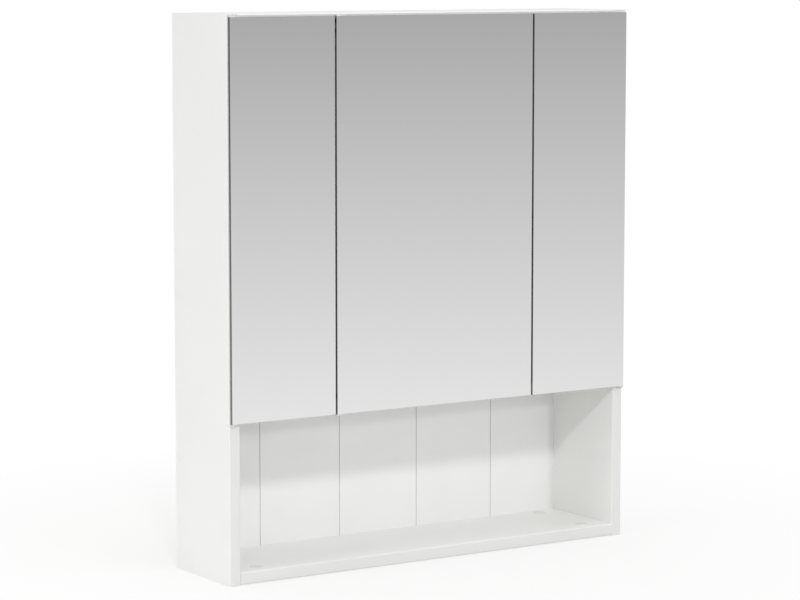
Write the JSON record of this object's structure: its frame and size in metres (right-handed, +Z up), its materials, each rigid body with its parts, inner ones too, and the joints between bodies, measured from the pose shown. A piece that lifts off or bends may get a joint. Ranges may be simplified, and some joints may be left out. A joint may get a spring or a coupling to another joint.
{
  "type": "mirror cabinet",
  "caption": "Wall-hung white bathroom cabinet with frameless hinged mirror doors over an open niche with a grooved back.",
  "frame": {"origin": "centre of the box at the lower ends of the side panels", "axes": "+X to the right seen from the front, +Y towards the wall, +Z up"},
  "size_m": [0.6, 0.142, 0.7],
  "materials": {
    "white_board": "white satin foil on chipboard",
    "back_sheet": "white lacquered grooved sheet",
    "mirror_glass": "silvered float glass",
    "white_steel": "white powder coat",
    "steel": "zinc plated",
    "magnet": "nickel plated",
    "nickel": "nickel plated",
    "zinc": "die cast",
    "white_plastic": "moulded",
    "clear_rubber": "clear soft pad",
    "beech": "fluted dowel"
  },
  "bodies": {
    "carcass": {"side_panel_left": "white_board", "side_panel_right": "white_board", "niche_floor": "white_board", "niche_ceiling": "white_board", "top_board": "white_board", "partition_left": "white_board", "partition_right": "white_board", "left_lower_shelf": "white_board", "left_upper_shelf": "white_board", "centre_lower_shelf": "white_board", "centre_upper_shelf": "white_board", "right_lower_shelf": "white_board", "right_upper_shelf": "white_board", "back_panel": "back_sheet", "left_magnet": "magnet", "centre_magnet": "magnet", "right_magnet": "magnet", "left_upper_bracket": "white_steel", "left_lower_bracket": "white_steel", "centre_upper_bracket": "white_steel", "centre_lower_bracket": "white_steel", "right_upper_bracket": "white_steel", "right_lower_bracket": "white_steel", "left_upper_pin": "steel", "left_lower_pin": "steel", "centre_upper_pin": "steel", "centre_lower_pin": "steel", "right_upper_pin": "steel", "right_lower_pin": "steel", "door_bumpers": "clear_rubber", "shelf_pins": "nickel", "cam_locks": "zinc", "cam_bolts": "steel", "cam_caps": "white_plastic", "dowels": "beech", "bracket_screws": "steel", "back_nails": "steel", "wall_bracket_left": "steel", "wall_bracket_right": "steel", "wall_bracket_screws": "steel"},
    "left_door": {"left_mirror": "mirror_glass", "left_strike": "steel", "left_upper_shoe": "white_steel", "left_lower_shoe": "white_steel"},
    "centre_door": {"centre_mirror": "mirror_glass", "centre_strike": "steel", "centre_upper_shoe": "white_steel", "centre_lower_shoe": "white_steel"},
    "right_door": {"right_mirror": "mirror_glass", "right_strike": "steel", "right_upper_shoe": "white_steel", "right_lower_shoe": "white_steel"}
  },
  "joints": [
    {"name": "left_door_swing", "type": "hinge", "parent": "carcass", "child": "left_door", "pos_m": [-0.2969, -0.069, 0.4], "axis": [0, 0, -1], "range_deg": [0, 95]},
    {"name": "centre_door_swing", "type": "hinge", "parent": "carcass", "child": "centre_door", "pos_m": [-0.14625, -0.069, 0.4], "axis": [0, 0, -1], "range_deg": [0, 95]},
    {"name": "right_door_swing", "type": "hinge", "parent": "carcass", "child": "right_door", "pos_m": [0.2969, -0.069, 0.4], "axis": [0, 0, 1], "range_deg": [0, 95]}
  ]
}
